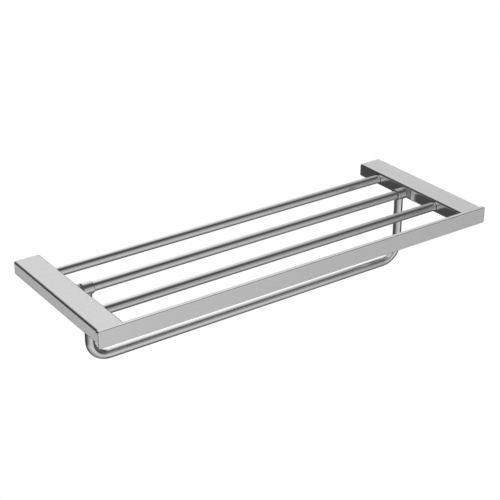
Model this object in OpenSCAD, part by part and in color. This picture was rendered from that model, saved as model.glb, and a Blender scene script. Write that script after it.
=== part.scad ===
// Wall-mounted towel rack: three shelf rods between two square brackets,
// a flat front rail, and a U-shaped towel bail that hangs and swings from
// the middle rod.
// Frame: X runs along the rack with X = 0 halfway, Y = 0 is the wall and
// the rack reaches towards -Y, Z = 0 is the height of the rod axes and of
// the wall screws, and +Z is up. Millimetres.

/* [Overall] */
// Length of the front rail, which is the overall length
rack_length = 600; // [450:1:800]
// Depth from the wall to the front face of the rail
rack_depth = 221; // [205:1:300]

/* [Brackets] */
// Width of each side bracket along X
bracket_width = 36; // [32:0.5:60]
// Height of the bracket top above the rod axes
bracket_top = 10; // [8:0.5:20]
// Depth of the bracket bottom below the rod axes
bracket_bottom = 9; // [8:0.5:20]
// How far the rail reaches past the outer side of each bracket
rail_overhang = 2; // [0:0.5:10]
// Radius of the four long bracket edges
bracket_radius = 3; // [1.5:0.1:5]
// Sheet thickness of the brackets and bottom covers
sheet = 1.2; // [0.8:0.1:2]
// Width of each inward flange along the bracket bottom
flange = 5; // [3:0.5:8]

/* [Front rail] */
// Thickness of the flat front rail
rail_thick = 5.5; // [5:0.5:10]
// Height of the front rail
rail_height = 22.5; // [20:0.5:40]
// Height of the rail's top edge above the rod axes
rail_top = 11; // [10:0.5:12]
// Radius of the four rail corners seen from the front
rail_corner = 2; // [0.5:0.1:4]

/* [Rods] */
// Diameter of the three shelf rods
rod_d = 12.5; // [10:0.5:14]
// Wall thickness of the rods and of the bail tube
tube_wall = 1; // [0.8:0.1:2]
// Distance of the rear rod from the wall
rod_first = 40; // [38:1:59]
// Pitch from one rod to the next
rod_pitch = 60; // [40:1:69]

/* [Towel bail] */
// Diameter of the bail tube
bail_d = 12.5; // [8:0.5:14]
// Drop from the middle rod axis to the axis of the towel bar
bail_drop = 100; // [60:1:160]
// Distance from each bracket's inner side to the axis of the nearest leg
leg_inset = 12; // [12:0.5:80]
// How far the bail has slid along the rod from the middle
bail_shift = 0.5; // [-0.5:0.5:0.5]
// Centreline radius of the two bends
bend_r = 26; // [15:1:50]
// Wall thickness of the pivot collars
collar_wall = 1.25; // [0.5:0.05:2]
// Length of each pivot collar
collar_len = 15; // [14:0.5:15]
// Wall thickness of the collar bushes
bush_wall = 0.53; // [0.4:0.01:0.8]
// Length of the spacer ring between each bracket and its collar
ring_len = 3.7; // [2:0.1:3.7]
// Radial running clearance of the collar bushes on the rod
running = 0.05; // [0.02:0.01:0.1]

/* [Wall fixing] */
// Distance between the two wall screw holes of one plate
wall_hole_pitch = 22; // [18:1:27]
// Diameter of the wall screw holes
wall_hole_d = 5; // [4:0.5:6]
// Thickness of the wall plate
wall_plate = 4; // [3:0.5:6]

/* [Hidden] */
$fn = 64;

half_len = rack_length / 2;
bx_out = half_len - rail_overhang;
bx_in = bx_out - bracket_width;
bx_mid = (bx_out + bx_in) / 2;
by_front = -(rack_depth - rail_thick);
rod_r = rod_d / 2;
tube_in = rod_r - tube_wall;
rod_y = [-rod_first, -rod_first - rod_pitch, -rod_first - 2 * rod_pitch];
pivot_y = rod_y[1];
// inside of the bracket sheet
in_w = bracket_width - 2 * sheet;
in_top = bracket_top - sheet;
in_bot = -(bracket_bottom - sheet);
in_r = bracket_radius - sheet;
fit = 0.1;
// blocks inside each bracket
rear_y0 = -12;
rear_y1 = -31;
front_y1 = by_front + 22;
cover_w = bracket_width - 2 * flange - 0.4;
cover_y0 = -0.5;
cover_y1 = by_front + 0.5;
cover_screw_y = [-26, by_front + 11];
lock_y = -18;
tongue_w = 11.6;
tongue_h = 8;
tongue_y = -24;
rail_screw_dx = 10;
// strap that the rods bolt to, inside each bracket
strap_x = bx_mid + 2;
strap_t = 3;
strap_y0 = rear_y1 - 0.4;
strap_y1 = rod_y[2] - 14;
rod_end = strap_x;
plug_len = 15;
screw_r = 2;
head_r = 3.6;
head_h = 2.4;
// bail
bail_r = bail_d / 2;
bail_in = bail_r - tube_wall;
bush_in = rod_r + running;
bush_out = bush_in + bush_wall;
collar_in = bush_out + 0.02;
collar_r = collar_in + collar_wall;
lx = bail_shift - (bx_in - leg_inset);
rx = bail_shift + (bx_in - leg_inset);
lc0 = lx - collar_len / 2;
lc1 = lx + collar_len / 2;
rc0 = rx - collar_len / 2;
rc1 = rx + collar_len / 2;
ring_r = collar_r - 0.1;

// rounded rectangle as plain squares and circles, from [x0, z0] to [x1, z1]
module rrect(x0, z0, x1, z1, r) {
    translate([x0 + r, z0]) square([x1 - x0 - 2 * r, z1 - z0]);
    translate([x0, z0 + r]) square([x1 - x0, z1 - z0 - 2 * r]);
    for (x = [x0 + r, x1 - r], z = [z0 + r, z1 - r])
        translate([x, z]) circle(r = r);
}

// extrude a section drawn in X and Z from y0 down to y1
module along_y(y0, y1) {
    translate([0, y0, 0]) rotate([90, 0, 0])
        linear_extrude(height = y0 - y1) children();
}

// cylinder along +X starting at x0
module bar_x(x0, x1, r, y, z) {
    translate([x0, y, z]) rotate([0, 90, 0]) cylinder(r = r, h = x1 - x0);
}

// one copy as drawn for +X, or its mirror image for -X
module side(s) {
    if (s > 0) children();
    else mirror([1, 0, 0]) children();
}

// ---- bracket: folded steel channel with an open strip along the bottom
module bracket_shell() {
    difference() {
        along_y(0, by_front) difference() {
            rrect(bx_in, -bracket_bottom, bx_out, bracket_top, bracket_radius);
            rrect(bx_in + sheet, in_bot, bx_out - sheet, in_top, in_r);
            translate([bx_in + flange, -bracket_bottom - 1])
                square([bracket_width - 2 * flange, sheet + 2]);
        }
        // the rods pass through the inner side only
        for (y = rod_y) bar_x(bx_in - 1, bx_in + sheet + 1, rod_r + 0.05, y, 0);
    }
}

// ---- bottom cover: flat strip that closes the bracket from below
module bottom_cover() {
    difference() {
        translate([bx_mid - cover_w / 2, cover_y1, -bracket_bottom])
            cube([cover_w, cover_y0 - cover_y1, sheet]);
        for (y = cover_screw_y)
            translate([bx_mid, y, -bracket_bottom - 1]) cylinder(r = 1.8, h = sheet + 2);
        for (y = cover_screw_y)
            translate([bx_mid, y, -bracket_bottom])
                cylinder(r1 = 3.1, r2 = 1.8, h = 0.9);
        translate([bx_mid, lock_y, -bracket_bottom - 1]) cylinder(r = 2.7, h = sheet + 2);
    }
}

// ---- cover screws: small countersunk screws, two in each bracket
module cover_screw(y) {
    difference() {
        translate([bx_mid, y, -bracket_bottom + 0.05]) {
            cylinder(r1 = 2.9, r2 = 1.5, h = 0.9);
            cylinder(r = 1.5, h = 8);
        }
        // hexagon key socket
        translate([bx_mid, y, -bracket_bottom - 1]) cylinder(r = 1.15, h = 1.9, $fn = 6);
    }
}

// ---- front block: solid end of the bracket that the rail bolts to
module front_block() {
    difference() {
        along_y(front_y1, by_front)
            rrect(bx_in + sheet, in_bot, bx_out - sheet, in_top, in_r);
        for (dx = [-rail_screw_dx, rail_screw_dx])
            translate([bx_mid + dx, by_front - 1, 0]) rotate([-90, 0, 0])
                cylinder(r = screw_r + 0.1, h = 30);
        translate([bx_mid, cover_screw_y[1], in_bot - 1]) cylinder(r = 1.52, h = 9);
    }
}

// ---- rear block: carries the lock screw and sits over the wall plate's tongue
module rear_block() {
    difference() {
        along_y(rear_y0, rear_y1)
            rrect(bx_in + sheet, in_bot, bx_out - sheet, in_top, in_r);
        translate([bx_mid - 6, tongue_y - 0.5, -4.2]) cube([12, 20, 8.4]);
        translate([bx_mid, lock_y, in_bot - 1]) cylinder(r = 2.52, h = 6);
        translate([bx_mid, cover_screw_y[0], in_bot - 1]) cylinder(r = 1.52, h = 9);
    }
}

// ---- wall plate: screwed to the wall inside the bracket's rear end
module wall_plate_part() {
    difference() {
        union() {
            along_y(0, -wall_plate)
                rrect(bx_in + sheet + fit, in_bot + fit, bx_out - sheet - fit, in_top - fit, in_r - fit);
            translate([bx_mid - tongue_w / 2, tongue_y, -tongue_h / 2])
                cube([tongue_w, -tongue_y - 1, tongue_h]);
        }
        for (dx = [-wall_hole_pitch / 2, wall_hole_pitch / 2])
            translate([bx_mid + dx, 1, 0]) rotate([90, 0, 0])
                cylinder(r = wall_hole_d / 2, h = wall_plate + 2);
    }
}

// ---- lock screws: hexagon-socket grub screws that press on the tongue
module lock_screw() {
    difference() {
        translate([bx_mid, lock_y, in_bot + 0.1])
            cylinder(r = 2.5, h = -tongue_h / 2 - in_bot - 0.1);
        translate([bx_mid, lock_y, in_bot - 1]) cylinder(r = 1.45, h = 3.2, $fn = 6);
    }
}

// ---- rod strap: steel angle inside the bracket that the rod ends bolt to
module rod_strap() {
    difference() {
        union() {
            translate([strap_x, strap_y1, -6.5]) cube([strap_t, strap_y0 - strap_y1, in_top + 6.5]);
            translate([strap_x - 12, strap_y1, in_top - 1.5]) cube([13, strap_y0 - strap_y1, 1.5]);
        }
        for (y = rod_y) bar_x(strap_x - 1, strap_x + strap_t + 1, screw_r + 0.1, y, 0);
    }
}

// ---- rod plug: threaded insert in the end of a rod
module rod_plug(y) {
    difference() {
        bar_x(rod_end - plug_len, rod_end, tube_in - 0.02, y, 0);
        bar_x(rod_end - plug_len - 1, rod_end + 1, screw_r + 0.02, y, 0);
    }
}

// ---- rod screw: socket-head screw through the strap into the plug
module rod_screw(y) {
    difference() {
        union() {
            bar_x(rod_end - 10, strap_x + strap_t + 0.5, screw_r, y, 0);
            bar_x(strap_x + strap_t, strap_x + strap_t + head_h, head_r, y, 0);
        }
        translate([strap_x + strap_t + head_h + 1, y, 0]) rotate([0, -90, 0])
            cylinder(r = 1.7, h = 2.6, $fn = 6);
    }
}

// ---- rail screw: socket-head screw through the front block into the rail
module rail_screw(dx) {
    translate([bx_mid + dx, 0, 0]) difference() {
        union() {
            translate([0, by_front - 4, 0]) rotate([-90, 0, 0])
                cylinder(r = screw_r, h = 4 + 22 + 0.5);
            translate([0, front_y1, 0]) rotate([-90, 0, 0]) cylinder(r = head_r, h = 3);
        }
        translate([0, front_y1 + 1, 0]) rotate([-90, 0, 0]) cylinder(r = 1.7, h = 3, $fn = 6);
    }
}

// ---- shelf rod: round tube
module rod(y) {
    difference() {
        bar_x(-rod_end, rod_end, rod_r, y, 0);
        bar_x(-rod_end - 1, rod_end + 1, tube_in, y, 0);
    }
}

// ---- front rail: flat bar across the front of both brackets
module rail() {
    difference() {
        along_y(by_front, -rack_depth)
            rrect(-half_len, rail_top - rail_height, half_len, rail_top, rail_corner);
        for (s = [-1, 1], dx = [-rail_screw_dx, rail_screw_dx])
            translate([s * bx_mid + dx, by_front - 4.2, 0]) rotate([-90, 0, 0])
                cylinder(r = screw_r + 0.02, h = 6);
    }
}

// ---- spacer ring on the middle rod between a collar and a bracket
module ring(x0, x1) {
    difference() {
        bar_x(x0, x1, ring_r, pivot_y, 0);
        bar_x(x0 - 1, x1 + 1, rod_r + 0.02, pivot_y, 0);
    }
}

// ---- bail: one bent tube with two legs and a straight towel bar
module bail_bar(r) {
    // straight towel bar
    bar_x(lx + bend_r, rx - bend_r, r, pivot_y, -bail_drop);
    // legs
    translate([lx, pivot_y, -bail_drop + bend_r]) cylinder(r = r, h = bail_drop - bend_r);
    translate([rx, pivot_y, -bail_drop + bend_r]) cylinder(r = r, h = bail_drop - bend_r);
    // quarter bends
    translate([lx + bend_r, pivot_y, -bail_drop + bend_r]) rotate([90, 0, 0])
        rotate([0, 0, 180]) rotate_extrude(angle = 90) translate([bend_r, 0]) circle(r = r);
    translate([rx - bend_r, pivot_y, -bail_drop + bend_r]) rotate([90, 0, 0])
        rotate([0, 0, 270]) rotate_extrude(angle = 90) translate([bend_r, 0]) circle(r = r);
}
module bail() {
    difference() {
        bail_bar(bail_r);
        bail_bar(bail_in);
        // saddle ends that fit the collars
        bar_x(lx - 12, lx + 12, collar_r + 0.01, pivot_y, 0);
        bar_x(rx - 12, rx + 12, collar_r + 0.01, pivot_y, 0);
        // open ends above the axis
        translate([lx - 10, pivot_y - 10, 0]) cube([20, 20, 10]);
        translate([rx - 10, pivot_y - 10, 0]) cube([20, 20, 10]);
    }
}

// ---- pivot collar: short steel sleeve welded to the top of a leg
module collar(x0, x1) {
    difference() {
        bar_x(x0, x1, collar_r, pivot_y, 0);
        bar_x(x0 - 1, x1 + 1, collar_in, pivot_y, 0);
    }
}

// ---- collar bush: nylon liner between the collar and the rod
module bush(x0, x1) {
    difference() {
        bar_x(x0 + 0.1, x1 - 0.1, bush_out, pivot_y, 0);
        bar_x(x0 - 1, x1 + 1, bush_in, pivot_y, 0);
    }
}

module left_bracket_shell() { color([0.75, 0.75, 0.76]) side(-1) bracket_shell(); }
module right_bracket_shell() { color([0.75, 0.75, 0.76]) side(1) bracket_shell(); }
module left_bottom_cover() { color([0.66, 0.66, 0.68]) side(-1) bottom_cover(); }
module right_bottom_cover() { color([0.66, 0.66, 0.68]) side(1) bottom_cover(); }
module cover_screws() { color([0.5, 0.5, 0.52]) for (s = [-1, 1], y = cover_screw_y) side(s) cover_screw(y); }
module left_front_block() { color([0.6, 0.6, 0.63]) side(-1) front_block(); }
module right_front_block() { color([0.6, 0.6, 0.63]) side(1) front_block(); }
module left_rear_block() { color([0.6, 0.6, 0.63]) side(-1) rear_block(); }
module right_rear_block() { color([0.6, 0.6, 0.63]) side(1) rear_block(); }
module front_rail() { color([0.72, 0.72, 0.74]) rail(); }
module rail_screws() { color([0.5, 0.5, 0.52]) for (s = [-1, 1], dx = [-rail_screw_dx, rail_screw_dx]) side(s) rail_screw(dx); }
module rear_rod() { color([0.8, 0.8, 0.81]) rod(rod_y[0]); }
module middle_rod() { color([0.8, 0.8, 0.81]) rod(rod_y[1]); }
module front_rod() { color([0.8, 0.8, 0.81]) rod(rod_y[2]); }
module rod_plugs() { color([0.6, 0.6, 0.63]) for (s = [-1, 1], y = rod_y) side(s) rod_plug(y); }
module left_rod_strap() { color([0.6, 0.6, 0.63]) side(-1) rod_strap(); }
module right_rod_strap() { color([0.6, 0.6, 0.63]) side(1) rod_strap(); }
module rod_screws() { color([0.5, 0.5, 0.52]) for (s = [-1, 1], y = rod_y) side(s) rod_screw(y); }
module left_wall_plate() { color([0.55, 0.56, 0.58]) side(-1) wall_plate_part(); }
module right_wall_plate() { color([0.55, 0.56, 0.58]) side(1) wall_plate_part(); }
module lock_screws() { color([0.3, 0.3, 0.32]) for (s = [-1, 1]) side(s) lock_screw(); }
module left_spacer_ring() { color([0.55, 0.55, 0.56]) ring(-bx_in, -bx_in + ring_len); }
module right_spacer_ring() { color([0.55, 0.55, 0.56]) ring(bx_in - ring_len, bx_in); }
module bail_tube() { color([0.8, 0.8, 0.81]) bail(); }
module left_pivot_collar() { color([0.78, 0.78, 0.79]) collar(lc0, lc1); }
module right_pivot_collar() { color([0.78, 0.78, 0.79]) collar(rc0, rc1); }
module left_collar_bush() { color([0.9, 0.9, 0.88]) bush(lc0, lc1); }
module right_collar_bush() { color([0.9, 0.9, 0.88]) bush(rc0, rc1); }

left_bracket_shell();
right_bracket_shell();
left_bottom_cover();
right_bottom_cover();
cover_screws();
left_front_block();
right_front_block();
left_rear_block();
right_rear_block();
front_rail();
rail_screws();
rear_rod();
middle_rod();
front_rod();
rod_plugs();
left_rod_strap();
right_rod_strap();
rod_screws();
left_wall_plate();
right_wall_plate();
lock_screws();
left_spacer_ring();
right_spacer_ring();
bail_tube();
left_pivot_collar();
right_pivot_collar();
left_collar_bush();
right_collar_bush();
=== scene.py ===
import bpy, bmesh, math
from mathutils import Vector, Matrix


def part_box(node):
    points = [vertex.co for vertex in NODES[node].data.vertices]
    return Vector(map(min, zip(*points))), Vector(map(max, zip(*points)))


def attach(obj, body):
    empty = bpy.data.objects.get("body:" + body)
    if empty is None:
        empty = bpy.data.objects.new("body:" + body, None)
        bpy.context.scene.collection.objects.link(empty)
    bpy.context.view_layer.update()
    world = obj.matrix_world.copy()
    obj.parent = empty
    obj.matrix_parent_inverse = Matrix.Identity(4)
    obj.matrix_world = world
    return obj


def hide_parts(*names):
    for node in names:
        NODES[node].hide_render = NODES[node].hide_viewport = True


# ---------------------------------------------------------------- the frame
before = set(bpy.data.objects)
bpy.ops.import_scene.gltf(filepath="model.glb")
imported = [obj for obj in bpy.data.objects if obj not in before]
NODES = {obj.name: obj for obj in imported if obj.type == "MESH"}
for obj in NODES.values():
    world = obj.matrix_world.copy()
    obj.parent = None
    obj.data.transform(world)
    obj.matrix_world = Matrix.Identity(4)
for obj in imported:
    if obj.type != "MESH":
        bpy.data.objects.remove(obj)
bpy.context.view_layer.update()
MM = 0.001


def span(node):
    lo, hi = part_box(node)
    return lo, hi


# sizes read back from the frame (metres)
rail_lo, rail_hi = span("front_rail")
sh_lo, sh_hi = span("right_bracket_shell")
HALF = rail_hi.x                      # half the rail's length
FRONT = rail_lo.y                     # front face of the rail
BACK_OF_RAIL = rail_hi.y
BX_IN, BX_OUT = sh_lo.x, sh_hi.x      # bracket sides
BZ_LO, BZ_HI = sh_lo.z, sh_hi.z
SHEET = 1.2 * MM
FLANGE = 5.0 * MM
BR = 3.0 * MM                         # bracket edge radius
ROD_Y = {n: (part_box(n)[0].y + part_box(n)[1].y) / 2 for n in ("rear_rod", "middle_rod", "front_rod")}
ROD_R = (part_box("middle_rod")[1].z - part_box("middle_rod")[0].z) / 2
ROD_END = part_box("middle_rod")[1].x
bail_lo, bail_hi = span("bail_tube")
BAIL_R = (bail_hi.y - bail_lo.y) / 2
PIVOT_Y = (bail_lo.y + bail_hi.y) / 2
LX, RX = bail_lo.x + BAIL_R, bail_hi.x - BAIL_R
BAR_Z = bail_lo.z + BAIL_R
BEND = 26.0 * MM
LC = (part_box("left_pivot_collar")[0].x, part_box("left_pivot_collar")[1].x)
RC = (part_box("right_pivot_collar")[0].x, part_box("right_pivot_collar")[1].x)
COLLAR_R = (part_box("left_pivot_collar")[1].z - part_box("left_pivot_collar")[0].z) / 2
COLLAR_IN = (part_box("left_collar_bush")[1].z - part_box("left_collar_bush")[0].z) / 2 + 0.02 * MM

# ------------------------------------------------------------ node helpers


class Mat:
    """A small wrapper that builds one Principled material."""

    def __init__(self, name, base, metallic, rough, spec=0.5, coat=0.0, coat_rough=0.1):
        self.m = bpy.data.materials.new(name)
        self.m.use_nodes = True
        self.t = self.m.node_tree
        self.t.nodes.clear()
        self.out = self.t.nodes.new("ShaderNodeOutputMaterial")
        self.p = self.t.nodes.new("ShaderNodeBsdfPrincipled")
        self.t.links.new(self.p.outputs["BSDF"], self.out.inputs["Surface"])
        self.p.inputs["Base Color"].default_value = (*base, 1)
        self.p.inputs["Metallic"].default_value = metallic
        self.p.inputs["Roughness"].default_value = rough
        self.p.inputs["Specular IOR Level"].default_value = spec
        if coat:
            self.p.inputs["Coat Weight"].default_value = coat
            self.p.inputs["Coat Roughness"].default_value = coat_rough
        self.base = base
        self.coord = self.t.nodes.new("ShaderNodeTexCoord")

    def node(self, kind, **props):
        n = self.t.nodes.new(kind)
        for k, v in props.items():
            setattr(n, k, v)
        return n

    def link(self, a, b):
        self.t.links.new(a, b)

    def noise(self, scale_xyz, detail=2.0, rough=0.5, distortion=0.0, shift=(0, 0, 0)):
        mp = self.node("ShaderNodeMapping")
        mp.inputs["Scale"].default_value = scale_xyz
        mp.inputs["Location"].default_value = shift
        self.link(self.coord.outputs["Object"], mp.inputs["Vector"])
        n = self.node("ShaderNodeTexNoise")
        n.inputs["Scale"].default_value = 1.0
        n.inputs["Detail"].default_value = detail
        n.inputs["Roughness"].default_value = rough
        n.inputs["Distortion"].default_value = distortion
        self.link(mp.outputs["Vector"], n.inputs["Vector"])
        return n.outputs["Fac"]

    def remap(self, sock, a, b, lo, hi):
        r = self.node("ShaderNodeMapRange")
        r.inputs["From Min"].default_value = a
        r.inputs["From Max"].default_value = b
        r.inputs["To Min"].default_value = lo
        r.inputs["To Max"].default_value = hi
        self.link(sock, r.inputs["Value"])
        return r.outputs["Result"]

    def math(self, op, a, b):
        n = self.node("ShaderNodeMath", operation=op)
        for i, v in enumerate((a, b)):
            if hasattr(v, "is_output"):
                self.link(v, n.inputs[i])
            else:
                n.inputs[i].default_value = v
        return n.outputs[0]

    def mix(self, fac, c1, c2):
        n = self.node("ShaderNodeMix", data_type="RGBA")
        self.link(fac, n.inputs[0])
        n.inputs[6].default_value = (*c1, 1)
        n.inputs[7].default_value = (*c2, 1)
        return n.outputs[2]

    def bump(self, sock, strength, distance, chain=None):
        b = self.node("ShaderNodeBump")
        b.inputs["Strength"].default_value = strength
        b.inputs["Distance"].default_value = distance
        self.link(sock, b.inputs["Height"])
        if chain is not None:
            self.link(chain, b.inputs["Normal"])
        return b.outputs["Normal"]

    def set_normal(self, sock):
        self.link(sock, self.p.inputs["Normal"])

    def set_rough(self, sock):
        self.link(sock, self.p.inputs["Roughness"])

    def set_color(self, sock):
        self.link(sock, self.p.inputs["Base Color"])


def shade(c, k):
    return tuple(min(1.0, v * k) for v in c)


def brushed(name, base, metallic, rough, across=1.0, bump=0.12, contrast=0.035):
    """Steel brushed along X: long hairlines, coarser streaks and a slow cloud."""
    m = Mat(name, base, metallic, rough)
    hair = m.noise((9, 2600 * across, 2600 * across), detail=3, rough=0.6)
    streak = m.noise((5, 620 * across, 620 * across), detail=2, rough=0.55, shift=(3, 1, 7))
    cloud = m.noise((9, 14, 14), detail=2, shift=(11, 5, 2))
    both = m.math("ADD", m.math("MULTIPLY", hair, 0.5), m.math("MULTIPLY", streak, 0.5))
    tone = m.math("ADD", m.math("MULTIPLY", both, 0.8), m.math("MULTIPLY", cloud, 0.2))
    m.set_color(m.mix(m.remap(tone, 0.3, 0.7, 0, 1), shade(base, 1 - contrast), shade(base, 1 + contrast)))
    m.set_rough(m.remap(both, 0.3, 0.7, rough - 0.05, rough + 0.06))
    m.set_normal(m.bump(hair, bump, 0.00002))
    return m.m


def polished(name, base, rough, axis="x", contrast=0.02):
    """Satin polished tube or edge: faint polishing marks and hardly any cloud."""
    m = Mat(name, base, 1.0, rough)
    sc = {"x": (1800, 60, 60), "z": (60, 60, 1800)}[axis]
    lines = m.noise(sc, detail=2, rough=0.5)
    cloud = m.noise((25, 25, 25), detail=2, shift=(4, 9, 1))
    m.set_color(m.mix(m.remap(cloud, 0.3, 0.7, 0, 1), shade(base, 1 - contrast), shade(base, 1 + contrast)))
    m.set_rough(m.remap(m.math("ADD", m.math("MULTIPLY", lines, 0.6), m.math("MULTIPLY", cloud, 0.4)), 0.3, 0.7, rough - 0.025, rough + 0.03))
    m.set_normal(m.bump(lines, 0.03, 0.00001))
    return m.m


def nylon(name, base, rough):
    m = Mat(name, base, 0.0, rough, spec=0.45)
    grain = m.noise((1400, 1400, 1400), detail=3, rough=0.6)
    slow = m.noise((90, 90, 90), detail=2, shift=(2, 2, 8))
    m.set_color(m.mix(m.remap(slow, 0.3, 0.7, 0, 1), shade(base, 0.88), shade(base, 1.12)))
    m.set_rough(m.remap(grain, 0.3, 0.7, rough - 0.05, rough + 0.08))
    m.set_normal(m.bump(grain, 0.18, 0.00003))
    return m.m


def cast(name, base, rough):
    m = Mat(name, base, 0.85, rough)
    grain = m.noise((900, 900, 900), detail=4, rough=0.65)
    slow = m.noise((60, 60, 60), detail=3, shift=(7, 3, 5))
    m.set_color(m.mix(m.remap(slow, 0.3, 0.7, 0, 1), shade(base, 0.88), shade(base, 1.1)))
    m.set_rough(m.remap(grain, 0.3, 0.7, rough - 0.08, rough + 0.1))
    m.set_normal(m.bump(grain, 0.3, 0.00008))
    return m.m


def turned(name, base, rough):
    """Small turned or cold-headed steel parts."""
    m = Mat(name, base, 1.0, rough)
    grain = m.noise((2200, 2200, 2200), detail=2, rough=0.5)
    slow = m.noise((300, 300, 300), detail=2, shift=(5, 8, 1))
    m.set_color(m.mix(m.remap(slow, 0.3, 0.7, 0, 1), shade(base, 0.86), shade(base, 1.1)))
    m.set_rough(m.remap(grain, 0.3, 0.7, rough - 0.06, rough + 0.08))
    m.set_normal(m.bump(grain, 0.1, 0.00003))
    return m.m


FLAT_TOP = brushed("bracket_brushed_steel", (0.78, 0.78, 0.785), 0.58, 0.50)
POLISH = polished("bracket_polished_steel", (0.70, 0.70, 0.705), 0.14)
INNER = polished("bracket_inner_polish", (0.86, 0.86, 0.865), 0.17)
RAIL = brushed("rail_brushed_steel", (0.80, 0.80, 0.805), 0.58, 0.48)
# darker base colour for the rail's rounded edges: painted dark edge lines
RAIL_EDGE_SHADE = polished("rail_edge_painted_dark_line", (0.42, 0.42, 0.425), 0.24)
ROD = polished("rod_satin_steel", (0.92, 0.92, 0.925), 0.14)
BAIL = polished("bail_satin_steel", (0.92, 0.92, 0.925), 0.14)
COLLAR = polished("collar_satin_steel", (0.92, 0.92, 0.925), 0.12)
COVER = brushed("cover_brushed_steel", (0.70, 0.70, 0.705), 0.8, 0.42)
# dark base colour for the collar ends: painted shade on the end faces and rounded end edges
COLLAR_END_SHADE = turned("collar_end_painted_shade", (0.28, 0.28, 0.285), 0.34)
# near-black base colour for the hole chamfers: painted contact shadow where the rods meet the brackets
HOLE_CONTACT_SHADOW = turned("rod_hole_painted_contact_shadow", (0.10, 0.10, 0.105), 0.5)
RING = turned("ring_matte_steel", (0.55, 0.55, 0.555), 0.36)
BUSH = nylon("bush_grey_nylon", (0.16, 0.16, 0.165), 0.5)
ZINC = cast("zinc_cast", (0.50, 0.51, 0.52), 0.5)
PLATE = cast("wall_plate_cast", (0.46, 0.47, 0.48), 0.46)
STRAP = brushed("strap_steel", (0.55, 0.55, 0.56), 0.9, 0.45)
INSERT = turned("insert_steel", (0.52, 0.52, 0.54), 0.35)
SCREW = turned("screw_steel", (0.58, 0.58, 0.60), 0.26)
LOCK = turned("lock_screw_black", (0.05, 0.05, 0.055), 0.36)

# ---------------------------------------------------------- mesh helpers


def finish_mesh(bm, name, mats, body, replaces, sharp=32.0, weighted=True):
    bmesh.ops.remove_doubles(bm, verts=bm.verts, dist=1e-7)
    bmesh.ops.recalc_face_normals(bm, faces=bm.faces)
    for f in bm.faces:
        f.smooth = True
    for e in bm.edges:
        if len(e.link_faces) == 2:
            e.smooth = e.calc_face_angle(0.0) < math.radians(sharp)
    me = bpy.data.meshes.new(name)
    bm.to_mesh(me)
    bm.free()
    for m in mats:
        me.materials.append(m)
    o = bpy.data.objects.new(name, me)
    bpy.context.scene.collection.objects.link(o)
    if weighted:
        w = o.modifiers.new("weighted", "WEIGHTED_NORMAL")
        w.keep_sharp = True
        w.weight = 50
        w.mode = "FACE_AREA"
    if replaces:
        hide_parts(*replaces)
    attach(o, body)
    return o


def arc(cx, cz, r, a0, a1, n):
    return [(cx + r * math.cos(math.radians(a0 + (a1 - a0) * i / n)),
             cz + r * math.sin(math.radians(a0 + (a1 - a0) * i / n))) for i in range(n + 1)]


def lathe_x(bm, prof, y, z, seg=96, mat=0, mat_of=None):
    """Turn a closed (x, r) profile about the line through (y, z) along X."""
    rings = []
    for j in range(seg):
        a = 2 * math.pi * j / seg
        c, s = math.cos(a), math.sin(a)
        rings.append([bm.verts.new((x, y + r * c, z + r * s)) for x, r in prof])
    n = len(prof)
    for j in range(seg):
        A, B = rings[j], rings[(j + 1) % seg]
        for i in range(n):
            k = (i + 1) % n
            f = bm.faces.new((A[i], A[k], B[k], B[i]))
            f.material_index = mat if mat_of is None else mat_of(i)


def tube_profile(x0, x1, ro, ri, e, steps=1, ei=None):
    """Closed profile of a tube with rounded outer end edges of radius e."""
    ei = e * 0.5 if ei is None else ei
    p = []
    p += [(x, r) for x, r in arc(x0 + e, ro - e, e, 180, 90, 4)]
    p += [(x0 + e + (x1 - x0 - 2 * e) * i / steps, ro) for i in range(1, steps)]
    p += [(x, r) for x, r in arc(x1 - e, ro - e, e, 90, 0, 4)]
    p += [(x, r) for x, r in arc(x1 - ei, ri + ei, ei, 0, -90, 3)]
    p += [(x1 - ei - (x1 - x0 - 2 * ei) * i / steps, ri) for i in range(1, steps)]
    p += [(x, r) for x, r in arc(x0 + ei, ri + ei, ei, 270, 180, 3)]
    return p


# ------------------------------------------------------------- the pieces

# shelf rods
for n, y in ROD_Y.items():
    bm = bmesh.new()
    lathe_x(bm, tube_profile(-ROD_END, ROD_END, ROD_R, ROD_R - 1.0 * MM, 0.3 * MM, steps=24), y, 0.0, seg=96)
    finish_mesh(bm, n + "_tube", [ROD], "rack", [n], sharp=40, weighted=False)


# bracket shells: folded channel, rounded long edges, softened ends
def shell_strip(s, d=0.0):
    """Outer and matching inner points of the section, s = side (not used), d = inset of both."""
    def rr(x0, z0, x1, z1, r, tip):
        p = [(x0 + FLANGE_IN, z0)]
        p += arc(x0 + r, z0 + r, r, 270, 180, 10)
        p += [(x0, z0 + r + (z1 - z0 - 2 * r) * i / 4) for i in range(1, 4)]
        p += arc(x0 + r, z1 - r, r, 180, 90, 10)
        p += [(x0 + r + (x1 - x0 - 2 * r) * i / 6, z1) for i in range(1, 6)]
        p += arc(x1 - r, z1 - r, r, 90, 0, 10)
        p += [(x1, z1 - r - (z1 - z0 - 2 * r) * i / 4) for i in range(1, 4)]
        p += arc(x1 - r, z0 + r, r, 0, -90, 10)
        p += [(x1 - FLANGE_IN, z0)]
        return p
    FLANGE_IN = FLANGE
    o = rr(BX_IN + d, BZ_LO + d, BX_OUT - d, BZ_HI - d, BR - d, 0)
    k = SHEET - d
    i = rr(BX_IN + k, BZ_LO + k, BX_OUT - k, BZ_HI - k, BR - k, 0)
    # the flange tips stay on one line
    o[0], i[0] = (BX_IN + FLANGE - d, o[0][1]), (BX_IN + FLANGE - d, i[0][1])
    o[-1], i[-1] = (BX_OUT - FLANGE + d, o[-1][1]), (BX_OUT - FLANGE + d, i[-1][1])
    return o, i


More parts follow.
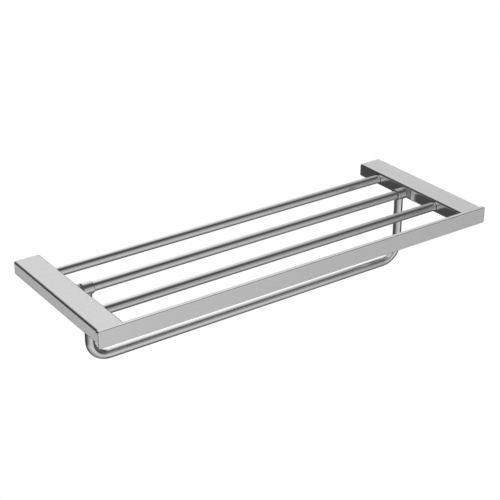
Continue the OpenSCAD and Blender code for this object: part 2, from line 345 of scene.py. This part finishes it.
def bracket(s, name, node):
    bm = bmesh.new()
    e = 0.25 * MM
    stations = []
    y0, y1 = 0.0, BACK_OF_RAIL
    for a in (0, 30, 60, 90):
        stations.append((y0 - e * (1 - math.cos(math.radians(a))) , e * (1 - math.sin(math.radians(a)))))
    body = 12
    for i in range(1, body):
        stations.append((y0 - e + (y1 - y0 + 2 * e) * i / body, 0.0))
    for a in (90, 60, 30, 0):
        stations.append((y1 + e * (1 - math.cos(math.radians(a))), e * (1 - math.sin(math.radians(a)))))
    loops = []
    for y, d in stations:
        o, i = shell_strip(s, d)
        ring = o + i[::-1]
        loops.append([bm.verts.new((s * x, y, z)) for x, z in ring])
    n = len(loops[0])
    h = n // 2
    for A, B in zip(loops, loops[1:]):
        for i in range(n):
            k = (i + 1) % n
            bm.faces.new((A[i], A[k], B[k], B[i]))
    for L in (loops[0], loops[-1]):
        for i in range(h - 1):
            bm.faces.new((L[i], L[i + 1], L[n - 2 - i], L[n - 1 - i]))
    bmesh.ops.recalc_face_normals(bm, faces=bm.faces)
    bm.normal_update()
    for f in bm.faces:
        c = f.calc_center_median()
        ax, nz, nx = abs(c.x), f.normal.z, f.normal.x * s
        outer_face = (ax < BX_IN + 0.02 * MM) or (ax > BX_OUT - 0.02 * MM) or (c.z > BZ_HI - 0.02 * MM) or (c.z < BZ_LO + 0.02 * MM)
        f.material_index = 0
        if nx < -0.98 and ax < BX_IN + 0.1 * MM:
            f.material_index = 2
        elif abs(nx) < 0.995 and abs(nz) < 0.995 and abs(f.normal.y) < 0.5:
            f.material_index = 1
    # cut the holes that the rods pass through; their chamfers take a near-black base colour, a painted contact
    # shadow round each rod
    me = bpy.data.meshes.new(name)
    bm.to_mesh(me)
    bm.free()
    mats = [FLAT_TOP, POLISH, INNER, HOLE_CONTACT_SHADOW]
    for m in mats:
        me.materials.append(m)
    tmp = bpy.data.objects.new(name + "_tmp", me)
    bpy.context.scene.collection.objects.link(tmp)
    cb = bmesh.new()
    for y in ROD_Y.values():
        x0, x1 = BX_IN, BX_IN + SHEET
        rr = ROD_R + 0.05 * MM
        prof = [(x0 - 1 * MM, rr + 1.65 * MM), (x0, rr + 0.65 * MM), (x0 + 0.65 * MM, rr), (x1 + 1 * MM, rr)]
        seg = 72
        rings = []
        for j in range(seg):
            a = 2 * math.pi * j / seg
            rings.append([cb.verts.new((s * x, y + r * math.cos(a), r * math.sin(a))) for x, r in prof])
        for j in range(seg):
            A, B = rings[j], rings[(j + 1) % seg]
            for i in range(len(prof) - 1):
                cb.faces.new((A[i], A[i + 1], B[i + 1], B[i]))
        cb.faces.new([r[0] for r in rings])
        cb.faces.new([r[-1] for r in rings])
    bmesh.ops.recalc_face_normals(cb, faces=cb.faces)
    # the cutter's faces carry the painted contact shadow colour into the hole chamfers
    for f in cb.faces:
        f.material_index = 3
    cm = bpy.data.meshes.new(name + "_cut")
    cb.to_mesh(cm)
    cb.free()
    for m in mats:
        cm.materials.append(m)
    cut = bpy.data.objects.new(name + "_cut", cm)
    bpy.context.scene.collection.objects.link(cut)
    b = tmp.modifiers.new("holes", "BOOLEAN")
    b.operation = "DIFFERENCE"
    b.solver = "EXACT"
    b.object = cut
    dg = bpy.context.evaluated_depsgraph_get()
    done = bpy.data.meshes.new_from_object(tmp.evaluated_get(dg))
    bpy.data.objects.remove(tmp)
    bpy.data.objects.remove(cut)
    bm = bmesh.new()
    bm.from_mesh(done)
    bpy.data.meshes.remove(done)
    return finish_mesh(bm, name, mats, "rack", [node], sharp=28)


bracket(-1, "left_bracket_channel", "left_bracket_shell")
bracket(1, "right_bracket_channel", "right_bracket_shell")


# front rail: flat bar, rounded corners, softened edges all round; the rounded edges take a darker base colour,
# painted dark edge lines
def rail_outline(d, r):
    x0, x1, z0, z1 = -HALF + d, HALF - d, rail_lo.z + d, rail_hi.z - d
    r = max(r - d, 0.2 * MM)
    p = arc(x1 - r, z0 + r, r, -90, 0, 8) + arc(x1 - r, z1 - r, r, 0, 90, 8)
    p += [(x1 - r - (x1 - x0 - 2 * r) * i / 24, z1) for i in range(1, 24)]
    p += arc(x0 + r, z1 - r, r, 90, 180, 8) + arc(x0 + r, z0 + r, r, 180, 270, 8)
    p += [(x0 + r + (x1 - x0 - 2 * r) * i / 24, z0) for i in range(1, 24)]
    return p


bm = bmesh.new()
ef, eb = 0.5 * MM, 0.4 * MM
st = []
for a in range(0, 91, 18):
    st.append((FRONT + ef * (1 - math.cos(math.radians(a))), ef * (1 - math.sin(math.radians(a)))))
for a in range(90, -1, -30):
    st.append((BACK_OF_RAIL - eb * (1 - math.cos(math.radians(a))), eb * (1 - math.sin(math.radians(a)))))
loops = []
for y, d in st:
    loops.append([bm.verts.new((x, y, z)) for x, z in rail_outline(d, 2.0 * MM)])
n = len(loops[0])
for A, B in zip(loops, loops[1:]):
    for i in range(n):
        k = (i + 1) % n
        f = bm.faces.new((A[i], A[k], B[k], B[i]))
bm.faces.new(loops[0])
bm.faces.new(loops[-1][::-1])
bm.normal_update()
# flat faces get the rail steel, all rounded faces the painted dark edge colour
for f in bm.faces:
    nx, ny, nz = (abs(v) for v in f.normal)
    f.material_index = 0 if max(nx, ny, nz) > 0.999 else 1
finish_mesh(bm, "front_rail_bar", [RAIL, RAIL_EDGE_SHADE], "rack", ["front_rail"], sharp=35)

# towel bail: one bent tube; its saddle ends sink a little into the collar walls
bm = bmesh.new()
SEG = 72
path = []      # (x, z, tangent angle); the tube starts at the left collar
z_top = -2.0 * MM
leg_n = 14
for i in range(leg_n):
    path.append((LX, z_top + (BAR_Z + BEND - z_top) * i / leg_n, 180.0))
for i in range(33):
    a = 180 + 90 * i / 32
    path.append((LX + BEND + BEND * math.cos(math.radians(a)), BAR_Z + BEND + BEND * math.sin(math.radians(a)), a))
bar_n = 24
for i in range(1, bar_n):
    path.append((LX + BEND + (RX - LX - 2 * BEND) * i / bar_n, BAR_Z, 270.0))
for i in range(33):
    a = 270 + 90 * i / 32
    path.append((RX - BEND + BEND * math.cos(math.radians(a)), BAR_Z + BEND + BEND * math.sin(math.radians(a)), a))
for i in range(leg_n - 1, -1, -1):
    path.append((RX, z_top + (BAR_Z + BEND - z_top) * i / leg_n, 360.0))


def saddle(dy):
    r = COLLAR_R - 0.15 * MM
    return -math.sqrt(r * r - dy * dy)


rings = []
for k, (x, z, a) in enumerate(path):
    ux, uz = math.cos(math.radians(a)), math.sin(math.radians(a))
    ring = []
    for j in range(SEG):
        t = 2 * math.pi * (j + 0.5) / SEG
        vx, vy, vz = x + BAIL_R * math.cos(t) * ux, PIVOT_Y + BAIL_R * math.sin(t), z + BAIL_R * math.cos(t) * uz
        if k in (0, len(path) - 1):
            vz = saddle(vy - PIVOT_Y)
        elif k in (1, len(path) - 2):
            vz = min(vz, -9.0 * MM)
        ring.append(bm.verts.new((vx, vy, vz)))
    rings.append(ring)
for A, B in zip(rings, rings[1:]):
    for j in range(SEG):
        k = (j + 1) % SEG
        bm.faces.new((A[j], A[k], B[k], B[j]))
for ring, x in ((rings[0][::-1], LX), (rings[-1], RX)):
    hub = bm.verts.new((x, PIVOT_Y, saddle(0)))
    for j in range(SEG):
        bm.faces.new((ring[j], ring[(j + 1) % SEG], hub))
finish_mesh(bm, "towel_bail_tube", [BAIL], "towel_bail", ["bail_tube"], sharp=40, weighted=False)

# pivot collars; the rounded ends, end faces and bore take a dark base colour, painted shade on the collar ends
for nm, node, (x0, x1) in (("left_collar_sleeve", "left_pivot_collar", LC), ("right_collar_sleeve", "right_pivot_collar", RC)):
    bm = bmesh.new()
    lathe_x(bm, tube_profile(x0, x1, COLLAR_R, COLLAR_IN, 0.8 * MM, steps=6, ei=0.12 * MM), PIVOT_Y, 0.0, seg=96,
            mat_of=lambda i: 0 if 4 <= i <= 9 else 1)
    finish_mesh(bm, nm, [COLLAR, COLLAR_END_SHADE], "towel_bail", [node], sharp=50, weighted=False)


# weld beads round the saddle ends of the legs
def weld(name, x_leg, c0, c1):
    bm = bmesh.new()
    nseg, ns = 160, 10
    pts = []
    for i in range(nseg):
        t = 2 * math.pi * i / nseg
        x = x_leg + BAIL_R * math.cos(t)
        x = min(max(x, c0 + 0.35 * MM), c1 - 0.35 * MM)
        dy = BAIL_R * math.sin(t)
        z = -math.sqrt(COLLAR_R ** 2 - dy * dy)
        pts.append(Vector((x, PIVOT_Y + dy, z)))
    rings = []
    for i, p in enumerate(pts):
        tan = (pts[(i + 1) % nseg] - pts[i - 1])
        tan = tan.normalized() if tan.length > 1e-9 else Vector((0, 1, 0))
        a = tan.cross(Vector((0, 0, 1)))
        a = a.normalized() if a.length > 1e-6 else Vector((1, 0, 0))
        b = tan.cross(a)
        rr = (0.50 + 0.07 * math.sin(i / nseg * 2 * math.pi * 26)) * MM
        rings.append([bm.verts.new(p + (a * math.cos(2 * math.pi * j / ns) + b * math.sin(2 * math.pi * j / ns)) * rr) for j in range(ns)])
    for i in range(nseg):
        A, B = rings[i], rings[(i + 1) % nseg]
        for j in range(ns):
            k = (j + 1) % ns
            bm.faces.new((A[j], A[k], B[k], B[j]))
    return finish_mesh(bm, name, [COLLAR], "towel_bail", [], sharp=80, weighted=False)


weld("left_leg_weld", LX, *LC)
weld("right_leg_weld", RX, *RC)

# spacer rings and nylon bushes
for node in ("left_spacer_ring", "right_spacer_ring"):
    lo, hi = span(node)
    bm = bmesh.new()
    lathe_x(bm, tube_profile(lo.x, hi.x, (hi.z - lo.z) / 2, ROD_R + 0.02 * MM, 0.3 * MM, steps=3, ei=0.1 * MM), PIVOT_Y, 0.0, seg=96)
    finish_mesh(bm, node + "_turned", [RING], "rack", [node], sharp=50, weighted=False)
for node in ("left_collar_bush", "right_collar_bush"):
    lo, hi = span(node)
    bm = bmesh.new()
    lathe_x(bm, tube_profile(lo.x, hi.x, (hi.z - lo.z) / 2, ROD_R + 0.05 * MM, 0.1 * MM, steps=2, ei=0.1 * MM), PIVOT_Y, 0.0, seg=96)
    finish_mesh(bm, node + "_liner", [BUSH], "towel_bail", [node], sharp=50, weighted=False)

# the rest keep their CAD shape and get their own finish; the covers, wall plates and straps also get softened edges
KEEP = {
    "left_bottom_cover": COVER, "right_bottom_cover": COVER, "cover_screws": SCREW,
    "left_front_block": ZINC, "right_front_block": ZINC, "left_rear_block": ZINC,
    "right_rear_block": ZINC, "rail_screws": SCREW, "rod_plugs": INSERT,
    "left_rod_strap": STRAP, "right_rod_strap": STRAP, "rod_screws": SCREW,
    "left_wall_plate": PLATE, "right_wall_plate": PLATE, "lock_screws": LOCK,
}
for node, mat in KEEP.items():
    o = NODES[node]
    if not o.material_slots:
        o.data.materials.append(mat)
    for i in range(len(o.material_slots)):
        o.material_slots[i].material = mat
    w = o.modifiers.new("weld", "WELD")
    w.merge_threshold = 1e-6
    if node in ("left_bottom_cover", "right_bottom_cover", "left_wall_plate", "right_wall_plate", "left_rod_strap", "right_rod_strap"):
        d = o.modifiers.new("planar", "DECIMATE")
        d.decimate_type = "DISSOLVE"
        d.angle_limit = math.radians(1.0)
        b = o.modifiers.new("edges", "BEVEL")
        b.width = 0.00015
        b.segments = 2
        b.limit_method = "ANGLE"
        b.angle_limit = math.radians(35)
        wn = o.modifiers.new("weighted", "WEIGHTED_NORMAL")
        wn.keep_sharp = False

# --------------------------------------------------------------- the stage
floor_mesh = bpy.data.meshes.new("floor")
S = 40.0
floor_mesh.from_pydata([(-S, -S, 0), (S, -S, 0), (S, S, 0), (-S, S, 0)], [], [(0, 1, 2, 3)])
floor = bpy.data.objects.new("floor", floor_mesh)
floor.location = (0, 0, -3.0)
bpy.context.scene.collection.objects.link(floor)
fm = bpy.data.materials.new("floor_white")
fm.use_nodes = True
fp = fm.node_tree.nodes["Principled BSDF"]
fp.inputs["Base Color"].default_value = (0.0, 0.0, 0.0, 1)
fp.inputs["Roughness"].default_value = 1.0
fp.inputs["Specular IOR Level"].default_value = 0.0
fp.inputs["Emission Color"].default_value = (1, 1, 1, 1)
fp.inputs["Emission Strength"].default_value = 1.0
floor_mesh.materials.append(fm)
floor.visible_glossy = False
floor.visible_diffuse = False

# soft surroundings: pale to the back and low in front, darker overhead
world = bpy.data.worlds.new("studio")
bpy.context.scene.world = world
world.use_nodes = True
wt = world.node_tree
wt.nodes.clear()
wout = wt.nodes.new("ShaderNodeOutputWorld")
wbg = wt.nodes.new("ShaderNodeBackground")
wcam = wt.nodes.new("ShaderNodeBackground")
wmix = wt.nodes.new("ShaderNodeMixShader")
wlp = wt.nodes.new("ShaderNodeLightPath")
wtc = wt.nodes.new("ShaderNodeTexCoord")
wcam.inputs["Color"].default_value = (1, 1, 1, 1)
wcam.inputs["Strength"].default_value = 1.0
def w_dot(axis):
    n = wt.nodes.new("ShaderNodeVectorMath")
    n.operation = "DOT_PRODUCT"
    n.inputs[1].default_value = axis
    wt.links.new(wtc.outputs["Generated"], n.inputs[0])
    return n.outputs["Value"]


def w_step(sock, a, b, lo, hi):
    """Smooth step of sock from a to b, giving lo to hi; a may be above b."""
    n = wt.nodes.new("ShaderNodeMapRange")
    n.interpolation_type = "SMOOTHSTEP"
    for k, v in (("From Min", a), ("From Max", b), ("To Min", lo), ("To Max", hi)):
        n.inputs[k].default_value = v
    wt.links.new(sock, n.inputs["Value"])
    return n.outputs["Result"]


def w_math(op, *socks):
    out = socks[0]
    for s in socks[1:]:
        n = wt.nodes.new("ShaderNodeMath")
        n.operation = op
        wt.links.new(out, n.inputs[0])
        if hasattr(s, "is_output"):
            wt.links.new(s, n.inputs[1])
        else:
            n.inputs[1].default_value = s
        out = n.outputs[0]
    return out


def flat(deg):
    return (math.cos(math.radians(deg)), math.sin(math.radians(deg)), 0.0)


def aim(az, el):
    c = math.cos(math.radians(el))
    return (c * math.cos(math.radians(az)), c * math.sin(math.radians(az)), math.sin(math.radians(el)))


wx, wy, wz = w_dot((1, 0, 0)), w_dot((0, 1, 0)), w_dot((0, 0, 1))
# wide panel in front and a little below, shaded off to the right
front = w_math("MULTIPLY", w_step(w_dot(flat(283.7)), -0.566, 1.300, 0, 0.589),
               w_step(wz, -1.044, -0.512, 0, 1), w_step(wz, 0.819, -0.109, 0, 1),
               w_step(wx, 0.520, 0.700, 1.0, 0.030))
# large panel behind, above the horizon, ending on the right
end = w_math("MAXIMUM", w_step(wx, 0.66, 0.80, 1.0, 0.1), w_step(wz, 0.12, -0.12, 0, 1))
back = w_math("MULTIPLY", w_step(w_dot(aim(45.8, 7.4)), 0.237, 1.050, 0, 0.949),
              w_step(wz, -0.800, 0.000, 0, 1), w_step(wx, 0.385, 0.749, 1.0, 0.171), end)
# small panels overhead on the left and underneath on the left
over = w_math("MULTIPLY", w_step(wz, 0.40, 0.70, 0, 0.50), w_step(wx, 0.25, 0.0, 0, 1), w_step(wy, 0.60, 0.35, 0, 1))
under = w_math("MULTIPLY", w_step(wz, -0.50, -0.65, 0, 0.24), w_step(wx, 0.36, 0.18, 0, 1), w_step(wy, 0.40, 0.10, 0, 1))
total = w_math("ADD", front, back, over, under, 0.065)
wt.links.new(total, wbg.inputs["Strength"])
wbg.inputs["Color"].default_value = (1, 1, 1, 1)
wt.links.new(wlp.outputs["Is Camera Ray"], wmix.inputs["Fac"])
wt.links.new(wbg.outputs["Background"], wmix.inputs[1])
wt.links.new(wcam.outputs["Background"], wmix.inputs[2])
wt.links.new(wmix.outputs["Shader"], wout.inputs["Surface"])


def sun(name, towards, strength, angle):
    d = bpy.data.lights.new(name, "SUN")
    d.energy = strength
    d.angle = math.radians(angle)
    o = bpy.data.objects.new(name, d)
    o.rotation_mode = "QUATERNION"
    o.rotation_quaternion = Vector(towards).to_track_quat("Z", "Y")
    bpy.context.scene.collection.objects.link(o)
    o.visible_glossy = False
    return o


def softbox(name, at, power, size, target=(-0.25, -0.15, 0.0)):
    d = bpy.data.lights.new(name, "AREA")
    d.shape = "DISK"
    d.size = size
    d.energy = power
    o = bpy.data.objects.new(name, d)
    o.rotation_mode = "QUATERNION"
    o.location = at
    aim_at = Vector(target) - Vector(at)
    o.rotation_quaternion = aim_at.to_track_quat("-Z", "Y")
    bpy.context.scene.collection.objects.link(o)
    o.visible_glossy = False
    o.visible_camera = False
    return o


softbox("softbox_left", (-0.955, -0.55, 0.50), 3.4, 0.5)
softbox("softbox_right", (0.70, 0.05, 0.50), 0.9, 0.3, (0.28, -0.1, 0.0))
sun("key_left", (-0.85, -0.46, 0.12), 3.05, 50)
sun("fill_right", (0.8, 0.1, 0.45), 1.1, 60)
sun("fill_top", (0.3, 0.1, 1.0), 0.60, 60)

# -------------------------------------------------------------- the camera
cd = bpy.data.cameras.new("camera")
cd.sensor_width = 36.0
cd.lens = 92.4565
cd.clip_start = 0.05
cd.clip_end = 200.0
cam = bpy.data.objects.new("camera", cd)
bpy.context.scene.collection.objects.link(cam)
R = (0.82034203, -0.57186753, -0.00254639)
U = (0.25244808, 0.35813336, 0.89889402)
D = (0.51313636, 0.73804337, -0.43815871)
C = (-0.87726555, -1.35189826, 0.72719286)
cam.matrix_world = Matrix(((R[0], U[0], -D[0], C[0]), (R[1], U[1], -D[1], C[1]), (R[2], U[2], -D[2], C[2]), (0, 0, 0, 1)))
bpy.context.scene.camera = cam
bpy.context.scene.view_settings.view_transform = "Standard"
bpy.context.scene.view_settings.look = "None"
